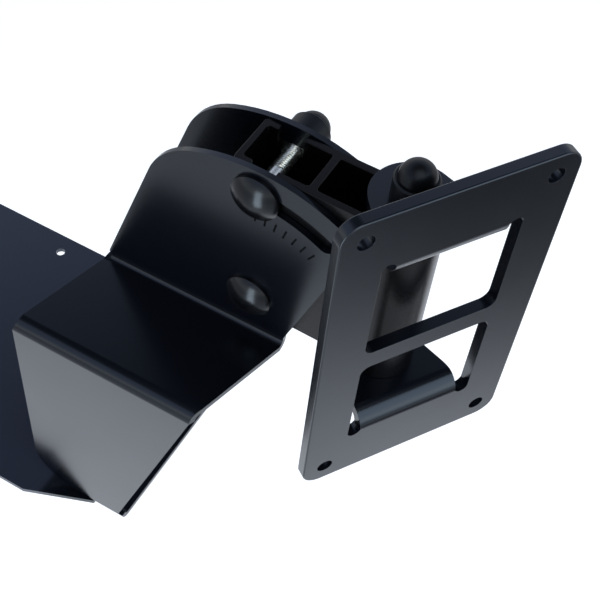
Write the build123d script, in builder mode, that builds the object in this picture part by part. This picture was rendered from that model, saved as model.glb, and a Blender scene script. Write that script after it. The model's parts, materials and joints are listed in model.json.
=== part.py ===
"""Speaker wall bracket: wall plate, swivelling arm and folded tilting tray.

Millimetres. The origin is the middle of the wall plate's wall side, +Z is up and the room is at -Y.
"""
import os
from math import cos, radians, sin, sqrt, tan

from build123d import *

# Rest position of the two joints
rest_swivel = 32.8
rest_tilt = 1.5

# Wall plate and its tabs
plate_width = 109.6
plate_height = 191.5
plate_thick = 6.0
plate_corner = 10.0
plate_edge = 0.8
wall_hole = 8.0
wall_hole_from_side = 11.55
wall_hole_from_end = 11.5
window_half = 33.3
window_corner = 5.0
bar_height = 10.8
bar_drop = 1.4
notch_width = 6.8
notch_top = 64.5
tab_inner = 53.2
tab_bend = 3.5
tab_end = 19.2
tab_shoulder = 30.0
axis_from_wall = 31.3

# Hardware
bolt_size = 8.0
bolt_chamfer = 1.0
neck_size = 8.0
neck_length = 5.0
head_radius = 10.3
head_height = 5.0
head_rim = 0.6
cover_radius = 12.15
cover_height = 6.6
cover_rim = 1.6
cover_clear = 0.2
washer_radius = 8.0
washer_thick = 1.6
nut_across = 13.0
nut_height = 6.5
bolt_past_nut = 4.0
cap_collar = 10.1
cap_collar_height = 11.1
cap_collar_tilt = 14.0
cap_lip = 0.8
cap_dome = 8.4
cap_clear = 0.1
pin_clear = 0.05
hole_clear = 0.4
neck_clear = 0.3
slide_gap = 0.1

# Moulded arm
hub_radius = 16.5
arm_half_width = 14.4
arm_half_height = 48.7
arm_wall = 3.5
arm_end = 78.6
arm_end_wall = 2.9
arm_cross_start = 39.0
arm_cross_wall = 3.8
arm_floor = 4.0
arm_corner = 2.0
cell_corner = 1.5
bolt_reach = 64.0
bolt_half_spacing = 35.0
gate_width = 12.8
gate_corner = 3.0

# Folded tray, sizes from the tilt pivot
sheet = 3.0
lobe_gap = 0.3
lobe_top = 85.5
lobe_front_corner = 41.0
lobe_rear_corner = 14.0
lobe_rear = -20.0
lobe_front = 83.5
lobe_lean = 20.4
lobe_straight = 4.0
shelf_drop = 25.5
shelf_rear_out = -7.2
shelf_front_out = 97.5
panel_front_top = 100.0
panel_rear_top = -4.0
panel_rear_base = 53.2
shelf_bend = 3.0
panel_half_top = 78.0
panel_half_base = 71.0
panel_bend = 7.0
panel_front_base = 110.5
panel_free_start = 0.8
panel_free_rise = 7.0
panel_free_corner = 24.0
fold_rear = 50.3
fold_front = 70.0
fold_bend = 5.5
relief = 1.5
base_drop = 192.0
base_half = 86.5
base_flare_end = 112.0
base_front = 295.0
base_corner = 14.0
base_hole = 6.0
base_hole_rows = (203.8, 282.0)
base_hole_half = 73.5
slot_width = 9.0
slot_travel = 30.0
slot_spare = 2.0
tick_count = 7
tick_first = 91.8
tick_step = 5.2
tick_radius = 56.8
tick_length = 5.8
tick_width = 1.0
tick_depth = 0.4

# Planes of the three bodies: plan views have Z up, side views have Z towards the far side of the arm
swivel_plan = Plane((0, -axis_from_wall, 0))
heading = Vector(sin(radians(rest_swivel)), -cos(radians(rest_swivel)), 0)
arm_plan = Plane(swivel_plan.origin, x_dir=heading, z_dir=(0, 0, 1))
near_side = arm_plan.y_dir
arm_side = Plane(swivel_plan.origin, x_dir=heading, z_dir=-near_side)
clamp_point = arm_side.from_local_coords((bolt_reach, bolt_half_spacing, 0))
pivot_point = arm_side.from_local_coords((bolt_reach, -bolt_half_spacing, 0))
clamp_side = Plane(clamp_point, x_dir=heading, z_dir=-near_side)
tray_heading = heading.rotate(Axis((0, 0, 0), near_side), rest_tilt)
tray_side = Plane(pivot_point, x_dir=tray_heading, z_dir=-near_side)
tray_plan = Plane(pivot_point, x_dir=tray_heading, z_dir=tray_side.y_dir)
tray_section = Plane(pivot_point, x_dir=near_side, z_dir=tray_heading)

lobe_inner = arm_half_width + lobe_gap
lobe_outer = lobe_inner + sheet
slot_radius = 2 * bolt_half_spacing
tab_top = tab_inner + plate_thick
tab_root_half = window_half - notch_width

os.makedirs("parts", exist_ok=True)


def keep(name, solid):
    """Name a finished piece and write it out."""
    solid.label = name
    export_step(solid, f"parts/{name}.step")


# One tab, folded out of its window: an L section cut to a round ended outline
root_depth = plate_thick + tab_bend
bend_top = tab_top + tab_bend
with BuildPart() as tab:
    with BuildSketch(Plane.YZ):
        with BuildLine():
            FilletPolyline(
                (0, notch_top),
                (0, tab_inner),
                (-axis_from_wall - tab_end, tab_inner),
                radius=root_depth,
            )
            offset(amount=plate_thick, side=Side.RIGHT)
        make_face()
    extrude(amount=tab_root_half, both=True)
    with BuildSketch(Plane.XY.offset(tab_inner)) as tab_outline:
        with Locations((0, -root_depth / 2)):
            Rectangle(2 * tab_root_half, root_depth)
        with Locations((0, -axis_from_wall)):
            Circle(tab_end)
        make_hull()
        fillet(tab_outline.vertices().group_by(Axis.Y)[-2], tab_shoulder)
    extrude(amount=notch_top - tab_inner, mode=Mode.INTERSECT)

# Wall plate: the flat with rounded rim, four wall holes, two windows and both tabs
notch_middle = window_half - notch_width / 2
with BuildPart() as wall_plate:
    with BuildSketch(Plane.XZ):
        RectangleRounded(plate_width, plate_height, plate_corner)
    extrude(amount=plate_thick)
    fillet(wall_plate.edges().filter_by(Axis.Y, reverse=True), plate_edge)
    with BuildSketch(Plane.XZ):
        with GridLocations(plate_width - 2 * wall_hole_from_side, plate_height - 2 * wall_hole_from_end, 2, 2):
            Circle(wall_hole / 2)
        for half in (-1, 1):
            window_low = bar_height / 2 - half * bar_drop
            with Locations((0, half * (window_low + bend_top) / 2)):
                RectangleRounded(2 * window_half, bend_top - window_low, window_corner)
            with Locations((-notch_middle, half * tab_inner), (notch_middle, half * tab_inner)):
                SlotOverall(2 * (notch_top - tab_inner), notch_width, rotation=90)
    extrude(amount=plate_thick, mode=Mode.SUBTRACT)
    add(tab.part)
    mirror(tab.part, about=Plane.XY)
    with BuildSketch(swivel_plan.offset(tab_inner)):
        Circle((bolt_size + hole_clear) / 2)
    extrude(amount=plate_thick, mode=Mode.SUBTRACT)
    with BuildSketch(swivel_plan.offset(-tab_inner)):
        Rectangle(neck_size + neck_clear, neck_size + neck_clear)
    extrude(amount=-plate_thick, mode=Mode.SUBTRACT)
keep("wall_plate", wall_plate.part)

# Arm: a box with two open cells, the round hub, a notch for the clamp bolt and holes for the pivot bolt
hub_half = tab_inner - slide_gap
cell_half = arm_half_width - arm_wall
cell_starts = (0, arm_cross_start + arm_cross_wall)
cell_ends = (arm_cross_start, arm_end - arm_end_wall)
with BuildPart() as arm:
    with BuildSketch(arm_plan.offset(-arm_half_height)) as arm_outline:
        with Locations((arm_end / 2, 0)):
            Rectangle(arm_end, 2 * arm_half_width)
        fillet(arm_outline.vertices().group_by(Axis.X)[-1], arm_corner)
    extrude(amount=2 * arm_half_height)
    with BuildSketch(arm_plan.offset(arm_half_height)):
        for start, end in zip(cell_starts, cell_ends):
            with Locations(((start + end) / 2, 0)):
                RectangleRounded(end - start, 2 * cell_half, cell_corner)
    extrude(amount=arm_floor - 2 * arm_half_height, mode=Mode.SUBTRACT)
    with BuildSketch(arm_plan.offset(-hub_half)):
        Circle(hub_radius)
    extrude(amount=2 * hub_half)
    with BuildSketch(arm_plan.offset(-hub_half)):
        Circle(bolt_size / 2 + pin_clear)
    extrude(amount=2 * hub_half, mode=Mode.SUBTRACT)
    with BuildSketch(arm_side):
        with Locations((bolt_reach, bolt_half_spacing + gate_width / 2)):
            RectangleRounded(gate_width, 2 * gate_width, gate_corner)
        with Locations((bolt_reach, bolt_half_spacing)):
            Circle((bolt_size + hole_clear) / 2)
        with Locations((bolt_reach, -bolt_half_spacing)):
            Circle(bolt_size / 2 + pin_clear)
    extrude(amount=arm_half_width, both=True, mode=Mode.SUBTRACT)
    with BuildSketch(arm_side.offset(-arm_half_width)):
        with Locations((bolt_reach, -bolt_half_spacing)):
            Circle(neck_size / sqrt(2) + lobe_gap)
    extrude(amount=neck_length - sheet, mode=Mode.SUBTRACT)
keep("arm", arm.part)

# Near half of the tray: one section for lobe, shelf, panel and fold, then the outline seen from the side
half_reach = base_half + sheet
lean = tan(radians(lobe_lean))
lean_run = (lobe_top + shelf_drop - lobe_straight) * lean
lobe_foot = lobe_front + lobe_straight * lean
shelf_under = -shelf_drop - panel_bend
fold_top = fold_bend - base_drop - sheet
with BuildPart() as half_tray:
    with BuildSketch(tray_section.offset(-lobe_top)):
        with BuildLine():
            FilletPolyline(
                (lobe_outer, lobe_top),
                (lobe_outer, -shelf_drop),
                (panel_half_top, -shelf_drop),
                (panel_half_base, -base_drop - sheet),
                (0, -base_drop - sheet),
                radius=(shelf_bend, panel_bend, fold_bend),
            )
            offset(amount=sheet, side=Side.RIGHT)
        make_face()
    extrude(amount=lobe_top + base_front)
    with BuildSketch(tray_side) as side_outline:
        with BuildLine():
            Polyline(
                (lobe_rear, shelf_under),
                (lobe_rear, lobe_straight - shelf_drop),
                (lobe_rear - lean_run, lobe_top),
                (lobe_front - lean_run, lobe_top),
                (lobe_foot, -shelf_drop),
                (lobe_foot, shelf_under),
                close=True,
            )
        make_face()
        Circle(lobe_top, mode=Mode.INTERSECT)
        fillet(side_outline.vertices().sort_by(Axis.Y)[-1], lobe_front_corner)
        fillet(side_outline.vertices().sort_by(Axis.X)[0], lobe_rear_corner)
        with BuildLine():
            Polyline(
                (lobe_rear, lobe_straight / 2 - shelf_drop),
                (shelf_front_out, -shelf_drop),
                (panel_front_top, shelf_under),
                (panel_front_base, panel_free_rise - base_drop),
                (fold_front, panel_free_start - base_drop),
                (fold_front, -base_drop - 2 * sheet),
                (fold_rear, -base_drop - 2 * sheet),
                (fold_rear, fold_top),
                (panel_rear_base, fold_top),
                (panel_rear_top, shelf_under),
                (lobe_rear, shelf_under),
                close=True,
            )
        make_face()
        fillet(side_outline.vertices().sort_by(Axis.X)[-1], panel_free_corner)
    extrude(amount=half_reach, both=True, mode=Mode.INTERSECT)
    with BuildSketch(tray_plan.offset(shelf_under)):
        shelf_start = lobe_outer + shelf_bend
        shelf_end = panel_half_top - panel_bend
        with BuildLine():
            Polyline(
                (lobe_foot, 0),
                (lobe_foot, shelf_start),
                (shelf_front_out, shelf_end),
                (base_front, shelf_end),
                (base_front, 0),
                close=True,
            )
        make_face()
        with BuildLine():
            Polyline(
                (lobe_rear, shelf_start),
                (shelf_rear_out, shelf_end),
                (panel_rear_top, panel_half_top),
                (panel_rear_top, half_reach),
                (-lobe_top, half_reach),
                (-lobe_top, shelf_start),
                close=True,
            )
        make_face()
    extrude(amount=2 * panel_bend, mode=Mode.SUBTRACT)

# Tray: both halves, the plate the speaker stands on, the curved slots, the pivot holes and the tick marks
tick_span = (tick_count - 1) * tick_step
slot_path = CenterArc((0, 0), slot_radius, 90 - slot_spare, slot_travel + 2 * slot_spare)
with BuildPart() as tray:
    add(half_tray.part)
    mirror(half_tray.part, about=tray_side)
    with BuildSketch(tray_plan.offset(-base_drop - sheet)) as base_outline:
        with BuildLine():
            Polyline(
                (fold_rear, 0),
                (fold_rear, panel_half_base - 2 * fold_bend),
                (fold_front + relief, panel_half_base - 2 * fold_bend),
                (fold_front + relief, panel_half_base),
                (base_flare_end, base_half),
                (base_front, base_half),
                (base_front, 0),
            )
            mirror(about=Plane.XZ)
        make_face()
        fillet(base_outline.vertices().group_by(Axis.X)[-1], base_corner)
        with Locations(*[(x, y) for x in base_hole_rows for y in (-base_hole_half, base_hole_half)]):
            Circle(base_hole / 2, mode=Mode.SUBTRACT)
    extrude(amount=sheet)
    with BuildSketch(tray_side):
        SlotArc(slot_path, slot_width)
    extrude(amount=half_reach, both=True, mode=Mode.SUBTRACT)
    with BuildSketch(tray_side):
        Circle((bolt_size + hole_clear) / 2)
    extrude(amount=half_reach, mode=Mode.SUBTRACT)
    with BuildSketch(tray_side):
        Rectangle(neck_size + neck_clear, neck_size + neck_clear)
    extrude(amount=-half_reach, mode=Mode.SUBTRACT)
    with BuildSketch(tray_side.offset(-lobe_outer)):
        with PolarLocations(tick_radius, tick_count, tick_first, tick_span, endpoint=True):
            Rectangle(tick_length, tick_width)
    extrude(amount=tick_depth, mode=Mode.SUBTRACT)
keep("tray", tray.part)


# Hardware, each piece on a seat whose Z runs from the bolt head to the nut


def lengthwise(seat):
    """Plane through the bolt's axis: X across, Y along the axis."""
    return Plane(seat.origin, x_dir=seat.x_dir, z_dir=-seat.y_dir)


def dome(radius, rim, height, seat):
    """Low round head standing out from the seat."""
    rise = height - rim
    with BuildPart() as head:
        with BuildSketch(lengthwise(seat)):
            with BuildLine():
                Polyline((0, -height), (0, 0), (radius, 0), (radius, -rim))
                RadiusArc((radius, -rim), (0, -height), (radius**2 + rise**2) / (2 * rise))
            make_face()
        revolve(axis=Axis(seat.origin, seat.z_dir))
    return head.part


def bolt(seat, grip):
    """Round headed bolt with a square neck, long enough for washer and nut past the grip."""
    length = grip + washer_thick + nut_height + bolt_past_nut
    with BuildPart() as made:
        add(dome(head_radius, head_rim, head_height, seat))
        with BuildSketch(seat):
            Rectangle(neck_size, neck_size)
        extrude(amount=neck_length)
        with BuildSketch(seat):
            Circle(bolt_size / 2)
        extrude(amount=length)
        tip = made.faces().sort_by(Axis(seat.origin, seat.z_dir))[-1]
        chamfer(tip.edges(), bolt_chamfer)
    return made.part


def head_cover(seat):
    """Plastic cover over a bolt head."""
    with BuildPart() as made:
        add(dome(cover_radius, cover_rim, cover_height, seat))
        add(
            dome(head_radius + cover_clear, head_rim + cover_clear, head_height + cover_clear, seat),
            mode=Mode.SUBTRACT,
        )
    return made.part


def washer(seat, grip):
    """Flat washer under the nut."""
    with BuildPart() as made:
        with BuildSketch(seat.offset(grip)):
            Circle(washer_radius)
            Circle((bolt_size + hole_clear) / 2, mode=Mode.SUBTRACT)
        extrude(amount=washer_thick)
    return made.part


def nut(seat, grip):
    """Six sided nut."""
    with BuildPart() as made:
        with BuildSketch(seat.offset(grip + washer_thick)):
            RegularPolygon(nut_across / 2, 6, major_radius=False)
            Circle(bolt_size / 2 + cap_clear, mode=Mode.SUBTRACT)
        extrude(amount=nut_height)
    return made.part


def nut_cap(seat, grip, collar):
    """Plastic cap with a collar of this height and a round top, hollow for washer, nut and bolt end."""
    foot = seat.offset(grip)
    nut_corner = nut_across / sqrt(3) + cap_clear
    nut_top = washer_thick + nut_height + cap_clear
    bolt_room = nut_top + bolt_past_nut + cap_clear
    with BuildPart() as made:
        with BuildSketch(lengthwise(foot)):
            with BuildLine():
                Polyline(
                    (0, collar + cap_dome),
                    (0, bolt_room),
                    (bolt_size / 2 + cap_clear, bolt_room),
                    (bolt_size / 2 + cap_clear, nut_top),
                    (nut_corner, nut_top),
                    (nut_corner, washer_thick + cap_clear),
                    (washer_radius + cap_clear, washer_thick + cap_clear),
                    (washer_radius + cap_clear, 0),
                    (cap_collar, 0),
                    (cap_collar, collar - cap_lip),
                    (cap_collar - cap_lip, collar),
                    (cap_dome, collar),
                )
                CenterArc((0, collar), cap_dome, 0, 90)
            make_face()
        revolve(axis=Axis(foot.origin, foot.z_dir))
    return made.part


swivel_seat = swivel_plan.offset(-tab_top)
clamp_seat = clamp_side.offset(-lobe_outer - slide_gap)
pivot_seat = tray_side.offset(-lobe_outer)
for name, seat, grip, collar in (
    ("swivel", swivel_seat, 2 * tab_top, cap_collar_height),
    ("clamp", clamp_seat, 2 * (lobe_outer + slide_gap), cap_collar_tilt),
    ("pivot", pivot_seat, 2 * lobe_outer, cap_collar_tilt),
):
    keep(f"{name}_bolt", bolt(seat, grip))
    keep(f"{name}_head_cover", head_cover(seat))
    keep(f"{name}_washer", washer(seat, grip))
    keep(f"{name}_nut", nut(seat, grip))
    keep(f"{name}_nut_cap", nut_cap(seat, grip, collar))
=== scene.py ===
"""Looks of the speaker wall bracket: finishes, rounded edges, threads, ticks, floor, light and camera."""

import json
from math import radians, tau

import bmesh
import bpy
from mathutils import Matrix, Quaternion, Vector


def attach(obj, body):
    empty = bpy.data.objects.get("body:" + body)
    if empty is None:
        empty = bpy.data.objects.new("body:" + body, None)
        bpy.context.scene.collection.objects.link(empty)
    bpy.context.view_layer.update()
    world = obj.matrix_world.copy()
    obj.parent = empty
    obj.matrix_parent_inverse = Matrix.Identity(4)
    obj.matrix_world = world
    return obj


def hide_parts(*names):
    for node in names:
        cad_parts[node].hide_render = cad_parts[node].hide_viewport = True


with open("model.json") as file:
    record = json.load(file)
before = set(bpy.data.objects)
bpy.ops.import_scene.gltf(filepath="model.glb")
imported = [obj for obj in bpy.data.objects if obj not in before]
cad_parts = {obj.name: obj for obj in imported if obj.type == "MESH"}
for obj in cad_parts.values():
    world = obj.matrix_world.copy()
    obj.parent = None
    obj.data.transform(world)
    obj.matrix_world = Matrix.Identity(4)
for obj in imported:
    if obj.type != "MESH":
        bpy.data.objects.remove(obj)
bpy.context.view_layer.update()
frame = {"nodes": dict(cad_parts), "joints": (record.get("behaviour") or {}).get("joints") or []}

# Wall plate
# Laser cut steel plate, 6 mm thick, with both tabs folded out of its windows.
# It is powder coated satin black after folding, so its edges are slightly rounded.
plate_rounding = 0.0005


class Signal:
    """One output in a node tree. Arithmetic on it adds the Math nodes that it needs."""

    def __init__(self, tree, socket):
        self.tree = tree
        self.socket = socket

    def make(self, kind, inputs, output=0, **settings):
        """Add a node, fill its sockets with values or signals and return one of its outputs."""
        node = self.tree.nodes.new(kind)
        for name, value in settings.items():
            setattr(node, name, value)
        for key, value in inputs.items():
            if isinstance(value, Signal):
                self.tree.links.new(value.socket, node.inputs[key])
            else:
                node.inputs[key].default_value = value
        return Signal(self.tree, node.outputs[output])

    def into(self, node, name):
        """Drive a named socket of a node that exists."""
        self.tree.links.new(self.socket, node.inputs[name])

    def math(self, operation, first, second):
        return self.make("ShaderNodeMath", {0: first, 1: second}, operation=operation)

    def __add__(self, other):
        return self.math("ADD", self, other)

    def __radd__(self, other):
        return self.math("ADD", other, self)

    def __sub__(self, other):
        return self.math("SUBTRACT", self, other)

    def __rsub__(self, other):
        return self.math("SUBTRACT", other, self)

    def __mul__(self, other):
        return self.math("MULTIPLY", self, other)

    def __rmul__(self, other):
        return self.math("MULTIPLY", other, self)

    def __truediv__(self, other):
        return self.math("DIVIDE", self, other)

    def __rtruediv__(self, other):
        return self.math("DIVIDE", other, self)


def surface(name):
    """New material, its shader and a signal with the object's own coordinates."""
    material = bpy.data.materials.new(name)
    material.use_nodes = True
    tree = material.node_tree
    shader = tree.nodes["Principled BSDF"]
    place = Signal(tree, tree.nodes.new("ShaderNodeTexCoord").outputs["Object"])
    return material, shader, place


def noise(place, scale, detail):
    """Noise from 0 to 1 that varies over 1 / scale metres."""
    return place.make("ShaderNodeTexNoise", {"Vector": place, "Scale": scale, "Detail": detail})


def blend(place, share, first, second):
    """Colour between two colours."""
    return place.make(
        "ShaderNodeMix", {"Factor": share, 6: first, 7: second}, output=2, data_type="RGBA"
    )


def relief(place, height, strength, depth):
    """Surface normal of a relief that is at most depth metres deep."""
    return place.make("ShaderNodeBump", {"Height": height, "Strength": strength, "Distance": depth})


def ramp(value, low, high):
    """Smooth step from 0 at low to 1 at high."""
    return value.make(
        "ShaderNodeMapRange",
        {"Value": value, "From Min": low, "From Max": high},
        interpolation_type="SMOOTHSTEP",
    )


def vectors(place, operation, first, second, output="Vector"):
    """Vector arithmetic."""
    return place.make("ShaderNodeVectorMath", {0: first, 1: second}, output=output, operation=operation)


def placed(name, data):
    """New object in the scene for a mesh, a lamp or a camera."""
    thing = bpy.data.objects.new(name, data)
    bpy.context.scene.collection.objects.link(thing)
    return thing


def softened(node, width, crisp=None):
    """Copy of a CAD node with its edges rounded, save those with both ends crisp, standing for that node."""
    merge_distance = 2e-6
    flat_angle = radians(0.2)
    edge_angle = radians(40)
    shape = bmesh.new()
    shape.from_mesh(frame["nodes"][node].data)
    bmesh.ops.remove_doubles(shape, verts=shape.verts, dist=merge_distance)
    bmesh.ops.dissolve_limit(shape, angle_limit=flat_angle, verts=shape.verts, edges=shape.edges)
    weight = shape.edges.layers.float.new("bevel_weight_edge")
    for edge in shape.edges:
        if edge.calc_face_angle(0) > edge_angle:
            edge.smooth = not (crisp and all(crisp(vert.co) for vert in edge.verts))
            edge[weight] = float(edge.smooth)
    sharp = [not edge.smooth for edge in shape.edges]
    mesh = bpy.data.meshes.new(f"{node}_finished")
    shape.to_mesh(mesh)
    shape.free()
    custom = mesh.attributes.get("custom_normal")
    if custom:
        mesh.attributes.remove(custom)
    mesh.shade_smooth()
    for edge in mesh.edges:
        edge.use_edge_sharp = sharp[edge.index]
    mesh.materials.clear()
    piece = placed(f"{node}_finished", mesh)
    bevel = piece.modifiers.new("rounded edges", "BEVEL")
    bevel.width = width
    bevel.segments = 2
    bevel.limit_method = "WEIGHT"
    bevel.harden_normals = True
    bevel.miter_outer = "MITER_ARC"
    flat = piece.modifiers.new("flat faces", "WEIGHTED_NORMAL")
    flat.keep_sharp = True
    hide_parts(node)
    return piece


# The same coat is on the tray. Its base is made paler as painted light, below a height and beyond a distance
# from the wall plate, straight ahead of the tray; nearer the plate the base keeps the dark coat, as painted
# shade under the side panels.
coat_black = (0.0010, 0.0014, 0.0028, 1)
coat_fleck = (0.0017, 0.0024, 0.0044, 1)
coat_painted_light = (0.0210, 0.0250, 0.0390, 1)
coat_gloss = 0.62
coat_tint = (0.78, 0.89, 1.0, 1)
painted_light_below = (-0.226, -0.222)
painted_light_beyond = (0.1850, 0.1905)
joints = {joint["name"]: joint for joint in frame["joints"]}
near = Vector(joints["tilt"]["axis"]).normalized()
up = Vector((0, 0, 1))
heading = near.cross(up)
powder_coat, shader, place = surface("powder_coat")
grain = noise(place, scale=1500.0, detail=3.0)
cloud = noise(place, scale=30.0, detail=2.0)
roughness = 0.17 + cloud * 0.06 + grain * 0.04
roughness.into(shader, "Roughness")
coat_colour = blend(place, grain, coat_black, coat_fleck)
height = place.make("ShaderNodeSeparateXYZ", {0: place}, output="Z")
forward = vectors(place, "DOT_PRODUCT", place, heading, "Value")
# Painted light: the tray's base is made paler below a height and beyond a distance ahead of the wall plate.
painted_light_area = (1 - ramp(height, *painted_light_below)) * ramp(forward, *painted_light_beyond)
blend(place, painted_light_area, coat_colour, coat_painted_light).into(shader, "Base Color")
relief(place, grain, strength=0.1, depth=0.00004).into(shader, "Normal")
shader.inputs["Specular IOR Level"].default_value = coat_gloss
shader.inputs["Specular Tint"].default_value = coat_tint

wall_plate = softened("wall_plate", plate_rounding)
wall_plate.data.materials.append(powder_coat)
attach(wall_plate, "wall")

# Arm
# One injection moulding in glass filled nylon with two open cells and a round hub.
# Its skin is satin black with a fine sparked grain from the mould.
arm_rounding = 0.0005
nylon_black = (0.0012, 0.0012, 0.0016, 1)
nylon_bloom = (0.0020, 0.0020, 0.0026, 1)
nylon_gloss = 0.23
arm_plastic, shader, place = surface("arm_plastic")
grain = noise(place, scale=2600.0, detail=2.0)
cloud = noise(place, scale=45.0, detail=2.0)
roughness = 0.20 + cloud * 0.08 + grain * 0.05
roughness.into(shader, "Roughness")
blend(place, cloud, nylon_black, nylon_bloom).into(shader, "Base Color")
relief(place, grain, strength=0.2, depth=0.00005).into(shader, "Normal")
shader.inputs["Specular IOR Level"].default_value = nylon_gloss

arm = softened("arm", arm_rounding)
arm.data.materials.append(arm_plastic)
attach(arm, "arm")

# Tray
# One sheet of 3 mm steel with two lobes, shelves and side panels folded up from the plate for the speaker.
# It has the wall plate's powder coat, and the folds have their real radius.
tray_rounding = 0.0004
lobe_outer = 0.0177
face_margin = 0.001
tick_radius = 0.0568
tick_length = 0.0058
pivot = Vector(joints["tilt"]["pos_m"])


def in_ticks(point):
    """Whether a point of the tray lies among the tick marks on the near lobe."""
    outward = (point - pivot).dot(near)
    radius = (point - pivot - near * outward).length
    return abs(outward - lobe_outer) < face_margin and abs(radius - tick_radius) < tick_length


tray = softened("tray", tray_rounding, in_ticks)
tray.data.materials.append(powder_coat)
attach(tray, "tray")

# Tick marks
# Seven short strokes cut into the near lobe below the slot, each with a thin matt black strip at its bottom
# as painted shade in the groove.
# They show how far the tray is tilted.
tick_count = 7
tick_first = radians(-91.8)
tick_step = radians(-5.2)
tick_width = 0.001
tick_depth = 0.0004
tick_strip_thickness = 0.0001
tick_black = (0.0015, 0.0015, 0.0018, 1)
tick_gloss = 0.1
rest_tilt = radians(1.5)


def new_tree(name, numbers, counts):
    """Empty geometry tree with these inputs, and a signal for each."""
    tree = bpy.data.node_groups.new(name, "GeometryNodeTree")
    for label in numbers:
        tree.interface.new_socket(label, in_out="INPUT", socket_type="NodeSocketFloat")
    for label in counts:
        tree.interface.new_socket(label, in_out="INPUT", socket_type="NodeSocketInt")
    tree.interface.new_socket("Geometry", in_out="OUTPUT", socket_type="NodeSocketGeometry")
    entry = tree.nodes.new("NodeGroupInput")
    return tree, {socket.name: Signal(tree, socket) for socket in entry.outputs if socket.name}


def end_tree(tree, geometry, material):
    """Make the geometry real, paint it and let it out of the tree."""
    real = geometry.make("GeometryNodeRealizeInstances", {"Geometry": geometry})
    painted = geometry.make("GeometryNodeSetMaterial", {"Geometry": real, "Material": material})
    leave = tree.nodes.new("NodeGroupOutput")
    painted.into(leave, "Geometry")


def tick_tree(material):
    """Geometry tree of flat strokes that point at the origin, spread along an arc about Z."""
    tree, given = new_tree("ticks", ("Radius", "First", "Step", "Length", "Width", "Thickness"), ("Count",))
    start = given["Radius"]
    points = start.make("GeometryNodeMeshLine", {"Count": given["Count"]})
    angle = given["First"] + given["Step"] * start.make("GeometryNodeInputIndex", {})
    spot = start.make(
        "ShaderNodeCombineXYZ",
        {0: start * start.math("COSINE", angle, 0.0), 1: start * start.math("SINE", angle, 0.0)},
    )
    spread = start.make("GeometryNodeSetPosition", {"Geometry": points, "Position": spot})
    size = start.make("ShaderNodeCombineXYZ", {0: given["Length"], 1: given["Width"], 2: given["Thickness"]})
    stroke = start.make("GeometryNodeMeshCube", {"Size": size})
    turn = start.make("ShaderNodeCombineXYZ", {2: angle})
    strokes = start.make(
        "GeometryNodeInstanceOnPoints", {"Points": spread, "Instance": stroke, "Rotation": turn}
    )
    end_tree(tree, strokes, material)
    return tree


def grown(name, tree, **values):
    """Plain mesh of what a geometry tree makes with these inputs."""
    holder = placed(name, bpy.data.meshes.new(name))
    modifier = holder.modifiers.new("geometry", "NODES")
    modifier.node_group = tree
    for item in tree.interface.items_tree:
        if item.in_out == "INPUT":
            modifier[item.identifier] = values[item.name]
    depsgraph = bpy.context.evaluated_depsgraph_get()
    mesh = bpy.data.meshes.new_from_object(holder.evaluated_get(depsgraph), depsgraph=depsgraph)
    bpy.data.objects.remove(holder)
    return mesh


def seat_at(origin, across, axis):
    """Matrix of a place with X across and Z along an axis."""
    side = axis.cross(across)
    turn = Matrix((across, side, axis)).transposed().to_4x4()
    return Matrix.Translation(origin) @ turn


# Painted shade: thin matt black strips laid in the bottoms of the tick grooves.
tick_shade_strip, shader, place = surface("tick_shade_strip")
grain = noise(place, scale=3000.0, detail=2.0)
roughness = 0.7 + grain * 0.2
roughness.into(shader, "Roughness")
shader.inputs["Base Color"].default_value = tick_black
shader.inputs["Specular IOR Level"].default_value = tick_gloss

tray_ahead = Matrix.Rotation(rest_tilt, 3, near) @ heading
tick_floor = pivot + near * (lobe_outer - tick_depth + tick_strip_thickness / 2)
tick_mesh = grown(
    "tick_shade_strip",
    tick_tree(tick_shade_strip),
    Radius=tick_radius,
    First=tick_first,
    Step=tick_step,
    Length=tick_length - tick_strip_thickness,
    Width=tick_width - tick_strip_thickness,
    Thickness=tick_strip_thickness,
    Count=tick_count,
)
tick_mesh.transform(seat_at(tick_floor, tray_ahead, near))
ticks = placed("tick_shade_strip", tick_mesh)
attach(ticks, "tray")

# Bolts
# Round headed zinc plated steel bolts with a square neck, a short plain shank and a rolled thread.
# Each is pushed through from the head side and pulled tight by a nut.
bolt_radius = 0.004
bolt_spacing = 0.070
neck_length = 0.005
head_radius = 0.0103
head_rim = 0.0006
head_height = 0.005
shank_length = 0.0175
thread_pitch = 0.00125
thread_depth = 0.0007
end_taper = 0.001
past_grip = 0.0121
tab_top = 0.0592
slide_gap = 0.0001
zinc_dull = (0.84, 0.87, 0.80, 1)
zinc_bright = (0.94, 0.96, 0.89, 1)


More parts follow.
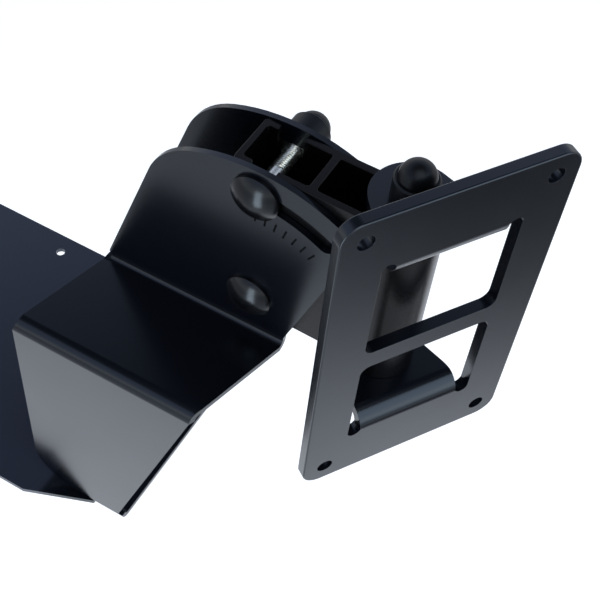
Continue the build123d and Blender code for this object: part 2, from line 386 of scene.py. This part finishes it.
def thread_tree(material):
    """Geometry tree of a threaded rod along Z: a grid rolled up, with its radius following the helix."""
    crest_share = 0.12
    merge_distance = 1e-6
    tree, given = new_tree("thread", ("Length", "Radius", "Pitch", "Depth", "Taper"), ("Around", "Along"))
    start = given["Length"]
    grid = start.make(
        "GeometryNodeMeshGrid",
        {"Size X": 1.0, "Size Y": 1.0, "Vertices X": given["Around"], "Vertices Y": given["Along"]},
    )
    spot = start.make("GeometryNodeInputPosition", {})
    across = start.make("ShaderNodeSeparateXYZ", {0: spot}, output=0) + 0.5
    along = (start.make("ShaderNodeSeparateXYZ", {0: spot}, output=1) + 0.5) * start
    phase = start.math("FRACT", along / given["Pitch"] - across, 0.0)
    groove = start.make(
        "ShaderNodeMapRange",
        {
            "Value": start.math("ABSOLUTE", phase * 2.0 - 1.0, 0.0),
            "From Min": crest_share,
            "From Max": 1 - crest_share,
        },
        clamp=True,
    )
    to_end = start.math("MINIMUM", start - along, along)
    cut = start.math("MAXIMUM", given["Taper"] - (start - along), 0.0)
    radius = start.math("MINIMUM", given["Radius"] - given["Depth"] * groove, given["Radius"] - cut)
    radius = radius * start.math("GREATER_THAN", to_end, merge_distance / 10)
    turn = across * tau
    spot = start.make(
        "ShaderNodeCombineXYZ",
        {
            0: radius * start.math("COSINE", turn, 0.0),
            1: radius * start.math("SINE", turn, 0.0),
            2: along,
        },
    )
    rolled = start.make("GeometryNodeSetPosition", {"Geometry": grid, "Position": spot})
    closed = start.make("GeometryNodeMergeByDistance", {"Geometry": rolled, "Distance": merge_distance})
    end_tree(tree, closed, material)
    return tree


def domed(shape, radius, rim, height):
    """Add a low round head that stands out from the seat towards -Z."""
    rise = height - rim
    curve = (radius**2 + rise**2) / (2 * rise)
    steps = 12
    outline = [Vector((0, 0, 0)), Vector((radius, 0, 0))]
    for step in range(steps + 1):
        across = radius * (1 - step / steps)
        drop = (curve**2 - across**2) ** 0.5 - (curve - rise)
        outline.append(Vector((across, 0, -rim - drop)))
    verts = [shape.verts.new(point) for point in outline]
    edges = [shape.edges.new(pair) for pair in zip(verts, verts[1:])]
    bmesh.ops.spin(
        shape, geom=verts + edges, cent=(0, 0, 0), axis=(0, 0, 1), angle=tau, steps=64, use_duplicate=False
    )
    bmesh.ops.remove_doubles(shape, verts=shape.verts, dist=1e-6)


zinc, shader, place = surface("zinc_steel")
mottle = noise(place, scale=700.0, detail=3.0)
roughness = 0.22 + mottle * 0.12
roughness.into(shader, "Roughness")
blend(place, mottle, zinc_dull, zinc_bright).into(shader, "Base Color")
relief(place, mottle, strength=0.1, depth=0.00004).into(shader, "Normal")
shader.inputs["Metallic"].default_value = 1.0

swivel = Vector(joints["swivel"]["pos_m"])
clamp = pivot + up * bolt_spacing
slide = lobe_outer + slide_gap
seats = {
    "swivel": (seat_at(swivel - up * tab_top, Vector((1, 0, 0)), up), 2 * tab_top, "wall"),
    "clamp": (seat_at(clamp + near * slide, heading, -near), 2 * slide, "arm"),
    "pivot": (seat_at(pivot + near * lobe_outer, tray_ahead, -near), 2 * lobe_outer, "tray"),
}
tree = thread_tree(zinc)
for name, (seat, grip, body) in seats.items():
    thread_length = grip + past_grip - shank_length
    thread = grown(
        f"{name}_thread",
        tree,
        Length=thread_length,
        Radius=bolt_radius,
        Pitch=thread_pitch,
        Depth=thread_depth,
        Taper=end_taper,
        Around=33,
        Along=int(thread_length / thread_pitch * 10),
    )
    thread.transform(Matrix.Translation((0, 0, shank_length)))
    shape = bmesh.new()
    domed(shape, head_radius, head_rim, head_height)
    box = bmesh.ops.create_cube(shape, size=1)
    neck_size = Matrix.Diagonal((2 * bolt_radius, 2 * bolt_radius, neck_length, 1))
    neck = Matrix.Translation((0, 0, neck_length / 2)) @ neck_size
    bmesh.ops.transform(shape, matrix=neck, verts=box["verts"])
    rod = bmesh.ops.create_cone(
        shape, cap_ends=True, segments=32, radius1=bolt_radius, radius2=bolt_radius, depth=shank_length
    )
    bmesh.ops.translate(shape, vec=(0, 0, shank_length / 2), verts=rod["verts"])
    shape.from_mesh(thread)
    bmesh.ops.transform(shape, matrix=seat, verts=shape.verts)
    bmesh.ops.recalc_face_normals(shape, faces=shape.faces)
    mesh = bpy.data.meshes.new(f"{name}_bolt_threaded")
    shape.to_mesh(mesh)
    shape.free()
    mesh.shade_smooth()
    mesh.set_sharp_from_angle(angle=radians(35))
    mesh.materials.clear()
    mesh.materials.append(zinc)
    piece = placed(f"{name}_bolt_threaded", mesh)
    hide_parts(f"{name}_bolt")
    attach(piece, body)

# Nuts and washers
# Plain hexagon nuts and flat washers in the same zinc plated steel as the bolts.
# They are pulled tight on the bolts and hidden under the caps.


def finished(kind, material):
    """Give one kind of CAD piece its finish at all three bolts."""
    for name in seats:
        mesh = frame["nodes"][f"{name}_{kind}"].data
        mesh.materials.clear()
        mesh.materials.append(material)


finished("nut", zinc)
finished("washer", zinc)

# Nut caps
# Soft moulded plastic caps with a collar and a round top, pushed over the nuts.
# Their skin is satin black.
cap_black = (0.0014, 0.0016, 0.0020, 1)
cap_bloom = (0.0024, 0.0026, 0.0032, 1)
cap_gloss = 0.3
cap_tint = (0.8, 0.9, 1.0, 1)
cap_plastic, shader, place = surface("cap_plastic")
grain = noise(place, scale=2200.0, detail=2.0)
cloud = noise(place, scale=90.0, detail=2.0)
roughness = 0.30 + cloud * 0.10 + grain * 0.04
roughness.into(shader, "Roughness")
blend(place, cloud, cap_black, cap_bloom).into(shader, "Base Color")
relief(place, grain, strength=0.15, depth=0.00004).into(shader, "Normal")
shader.inputs["Specular IOR Level"].default_value = cap_gloss
shader.inputs["Specular Tint"].default_value = cap_tint
finished("nut_cap", cap_plastic)

# Bolt head covers
# Glossy black plastic domes, moulded with a faint ripple.
# They are clipped over the bolt heads, so that no zinc shows on that side.
cover_black = (0.0012, 0.0013, 0.0016, 1)
cover_bloom = (0.0020, 0.0021, 0.0026, 1)
cover_gloss = 0.37
cover_tint = (0.82, 0.91, 1.0, 1)
cover_plastic, shader, place = surface("cover_plastic")
ripple = noise(place, scale=260.0, detail=2.0)
roughness = 0.22 + ripple * 0.06
roughness.into(shader, "Roughness")
blend(place, ripple, cover_black, cover_bloom).into(shader, "Base Color")
relief(place, ripple, strength=0.05, depth=0.0001).into(shader, "Normal")
shader.inputs["Specular IOR Level"].default_value = cover_gloss
shader.inputs["Specular Tint"].default_value = cover_tint
shader.inputs["Coat Weight"].default_value = 0.12
shader.inputs["Coat Roughness"].default_value = 0.15
finished("head_cover", cover_plastic)

# Floor
# Plain pale studio floor well below the bracket, which hangs in the air.
# Mirror images alone show painted light and shade on it: white in a pool under the tray, greyer outside
# the pool and darkest in a round painted shade on the far side of the wall plate.
floor_size = 60
floor_drop = 0.75
floor_light = 0.58
floor_pale = (0.86, 0.86, 0.86, 1)
black = (0, 0, 0, 1)
white = (1, 1, 1, 1)
pool_middle = (-0.25, -0.50, 0.0)
pool_reach = (1.0, 0.9, 1.0)
pool_edge = (0.82, 1.15)
pool_outside = 0.5
shade_middle = (-0.65, 0.72, 0.0)
shade_edge = (0.2, 0.6)
shade_depth = 0.88
bpy.ops.mesh.primitive_plane_add(size=floor_size, location=(0, 0, -floor_drop))
floor = bpy.context.object
floor.name = "floor"
floor_white, shader, place = surface("floor_white")
shader.inputs["Roughness"].default_value = 0.9
shader.inputs["Specular IOR Level"].default_value = 0.2


def is_ray(place, kind):
    """1 for one kind of ray, otherwise 0."""
    return place.make("ShaderNodeLightPath", {}, output=f"Is {kind} Ray")


def distance(place, first, second):
    """Length between two points."""
    return vectors(place, "DISTANCE", first, second, "Value")


# Painted light and shade for mirror images only: a bright pool and a dark round patch.
from_pool = vectors(place, "DIVIDE", vectors(place, "SUBTRACT", place, pool_middle), pool_reach)
pool = 1 - ramp(distance(place, from_pool, (0, 0, 0)), *pool_edge)
open_floor = ramp(distance(place, place, shade_middle), *shade_edge)
dim = (open_floor * shade_depth + (1 - shade_depth)) * (pool * (1 - pool_outside) + pool_outside)
tone = 1 - is_ray(place, "Glossy") * (1 - dim)
seen = is_ray(place, "Camera") + is_ray(place, "Glossy") + is_ray(place, "Transmission")
blend(place, tone, black, floor_pale).into(shader, "Base Color")
blend(place, tone, black, white).into(shader, "Emission Color")
(place.math("MINIMUM", seen, 1.0) * floor_light).into(shader, "Emission Strength")
floor.data.materials.append(floor_white)

# World
# White surroundings at the level of the bracket, bluish grey above and a dark studio ceiling.
# The bands are heights on a sphere around the bracket, from 0 at its level to 1 overhead.
haze = (0.50, 0.56, 0.74, 1)
haze_band = (0.10, 0.45)
upper_grey = (0.105, 0.120, 0.155, 1)
upper_band = (0.70, 0.80)
ceiling = (0.03, 0.036, 0.05, 1)
ceiling_band = (0.81, 0.84)
world = bpy.data.worlds.new("studio")
bpy.context.scene.world = world
world.use_nodes = True
backdrop = world.node_tree.nodes["Background"]
around = Signal(world.node_tree, world.node_tree.nodes.new("ShaderNodeTexCoord").outputs["Generated"])
height = around.make("ShaderNodeSeparateXYZ", {0: around}, output="Z")
sky = blend(around, ramp(height, *haze_band), white, haze)
sky = blend(around, ramp(height, *upper_band), sky, upper_grey)
blend(around, ramp(height, *ceiling_band), sky, ceiling).into(backdrop, "Color")

# Lamps
# A large cool soft box on the wall side, as from a window, and one overhead.
# A narrow upright one on the near side makes the glints on the bolt head covers.
middle = (0, 0, -0.05)


def softbox(name, place, aim, width, height, power, colour):
    """Upright area lamp that faces a point and that the camera does not see."""
    lamp = bpy.data.lights.new(name, "AREA")
    lamp.shape = "RECTANGLE"
    lamp.size = width
    lamp.size_y = height
    lamp.energy = power
    lamp.color = colour
    holder = placed(name, lamp)
    holder.location = place
    holder.visible_camera = False
    holder.rotation_mode = "QUATERNION"
    holder.rotation_quaternion = (Vector(aim) - Vector(place)).to_track_quat("-Z", "Y")


softbox("window", (-0.55, 1.5, 0.55), middle, width=1.8, height=2.2, power=17.0, colour=(0.76, 0.89, 1.0))
softbox("overhead", (0.3, 0.8, 1.7), middle, width=1.6, height=1.6, power=10.0, colour=(1.0, 1.0, 1.0))
softbox(
    "strip",
    (0.80, 0.47, -0.22),
    (0.03, -0.08, -0.1),
    width=0.30,
    height=0.9,
    power=4.8,
    colour=(0.80, 0.91, 1.0),
)

# Camera
# Fitted to the photo: a long lens from above, on the wall side of the bracket.
# It is rolled a little to one side, as the photo is.
eye = Vector((0.2196, 0.23196, 0.42884))
aim = Vector((0.0432, -0.04022, 0.0))
lens = 72.804
sensor = 36
roll = radians(7.217)
camera = placed("camera", bpy.data.cameras.new("camera"))
camera.data.lens = lens
camera.data.sensor_width = sensor
camera.data.clip_start = 0.01
camera.location = eye
camera.rotation_mode = "QUATERNION"
camera.rotation_quaternion = (aim - eye).to_track_quat("-Z", "Y") @ Quaternion((0, 0, 1), roll)
bpy.context.scene.camera = camera
bpy.context.scene.view_settings.view_transform = "Standard"
